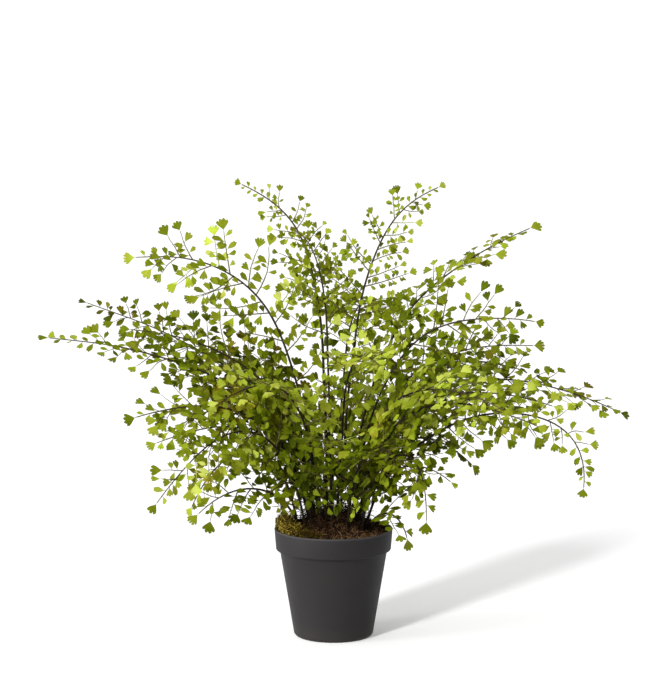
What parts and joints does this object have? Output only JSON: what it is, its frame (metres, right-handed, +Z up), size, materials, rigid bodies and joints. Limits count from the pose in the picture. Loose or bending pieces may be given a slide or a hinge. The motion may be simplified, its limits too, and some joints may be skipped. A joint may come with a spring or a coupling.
{
  "type": "potted maidenhair fern",
  "caption": "Maidenhair fern in a dark nursery pot: arching dark stems with small fan leaflets, coir soil and a tuft of moss.",
  "frame": {"origin": "middle of the pot's flat underside", "axes": "+Z up, +X along the fronds' longest spread, -Y towards the front"},
  "size_m": [0.6021, 0.4584, 0.4695],
  "materials": {
    "pot_plastic": "satin dark warm grey, a little lighter on the edge of the rim",
    "coir": "dark brown loose root fibre",
    "moss_tuft": "olive, dry and fibrous",
    "fern_green": "thin yellow-green leaflets on purple-black stems"
  },
  "bodies": {
    "root": {"pot": "pot_plastic", "soil": "coir", "moss": "moss_tuft", "frond_01": "fern_green", "frond_02": "fern_green", "frond_03": "fern_green", "frond_04": "fern_green", "frond_05": "fern_green", "frond_06": "fern_green", "frond_07": "fern_green", "frond_08": "fern_green", "frond_09": "fern_green", "frond_10": "fern_green", "frond_11": "fern_green", "frond_12": "fern_green", "frond_13": "fern_green", "frond_14": "fern_green", "frond_15": "fern_green", "frond_16": "fern_green", "frond_17": "fern_green", "frond_18": "fern_green", "frond_19": "fern_green", "frond_20": "fern_green", "frond_21": "fern_green", "frond_22": "fern_green", "frond_23": "fern_green", "frond_24": "fern_green", "frond_25": "fern_green", "frond_26": "fern_green", "frond_27": "fern_green", "frond_28": "fern_green", "frond_29": "fern_green", "frond_30": "fern_green", "frond_31": "fern_green", "frond_32": "fern_green", "frond_33": "fern_green", "frond_34": "fern_green", "frond_35": "fern_green", "frond_36": "fern_green", "frond_37": "fern_green", "frond_38": "fern_green"}
  },
  "joints": []
}
